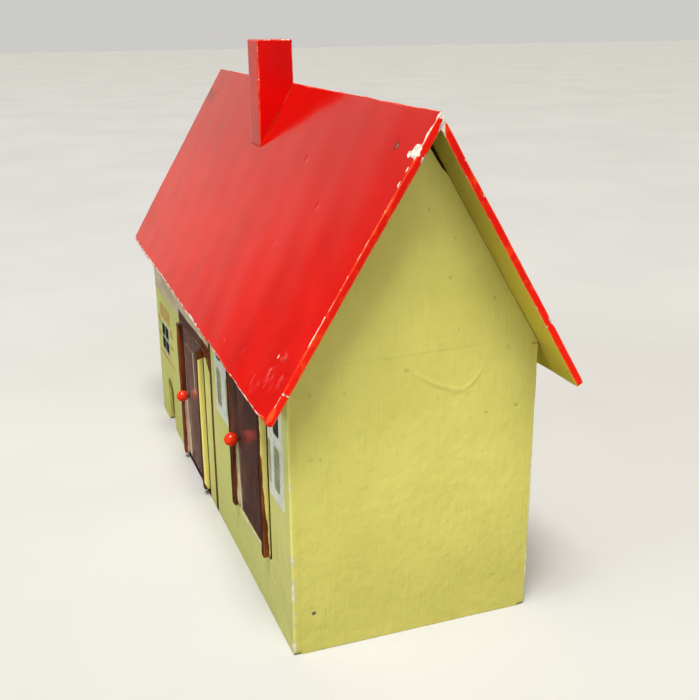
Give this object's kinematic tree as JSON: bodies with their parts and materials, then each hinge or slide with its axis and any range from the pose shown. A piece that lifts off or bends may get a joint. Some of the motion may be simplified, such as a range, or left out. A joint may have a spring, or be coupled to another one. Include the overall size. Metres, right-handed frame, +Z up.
{
  "type": "birdhouse",
  "caption": "Painted wooden birdhouse shaped like a cottage, with a steep roof, a block chimney, two rooms behind hinged doors with round knobs, and a low arched opening.",
  "frame": {"origin": "on the ground, under the middle of the house's footprint and roof", "axes": "+X along the ridge towards the near gable, +Z up, and the front wall with both doors faces -Y"},
  "size_m": [0.511, 0.2048, 0.3734],
  "materials": {
    "yellow_paint": "satin yellow paint on wood",
    "red_paint": "glossy red paint on wood",
    "brown_paint": "glossy dark brown paint on wood",
    "red_bead": "glossy orange-red paint on a wooden bead",
    "bare_wood": "bare pale wood",
    "nail_steel": "dull steel, painted over on the outside"
  },
  "bodies": {
    "house": {"front_wall": "yellow_paint", "rear_wall": "yellow_paint", "near_gable": "yellow_paint", "far_gable": "yellow_paint", "partition": "bare_wood", "floor_board": "bare_wood", "far_threshold": "brown_paint", "front_near_post": "bare_wood", "rear_near_post": "bare_wood", "front_far_post": "bare_wood", "rear_far_post": "bare_wood", "front_roof": "red_paint", "rear_roof": "red_paint", "chimney": "red_paint", "near_door_pins": "nail_steel", "near_door_stop": "bare_wood", "far_door_pins": "nail_steel", "far_door_stop": "bare_wood", "gable_nails": "nail_steel", "roof_nails": "nail_steel"},
    "near_door": {"near_door_panel": "brown_paint", "near_door_knob_stile": "brown_paint", "near_door_hinge_stile": "brown_paint", "near_door_knob": "red_bead", "near_door_knob_peg": "bare_wood"},
    "far_door": {"far_door_panel": "brown_paint", "far_door_knob_stile": "brown_paint", "far_door_hinge_stile": "brown_paint", "far_door_knob": "red_bead", "far_door_knob_peg": "bare_wood"}
  },
  "joints": [
    {"name": "near_door_hinge", "type": "hinge", "parent": "house", "child": "near_door", "pos_m": [0.1755, -0.0817, 0.104], "axis": [0, 0, 1], "range_deg": [0, 100]},
    {"name": "far_door_hinge", "type": "hinge", "parent": "house", "child": "far_door", "pos_m": [-0.0165, -0.0817, 0.068], "axis": [0, 0, 1], "range_deg": [0, 100]}
  ]
}
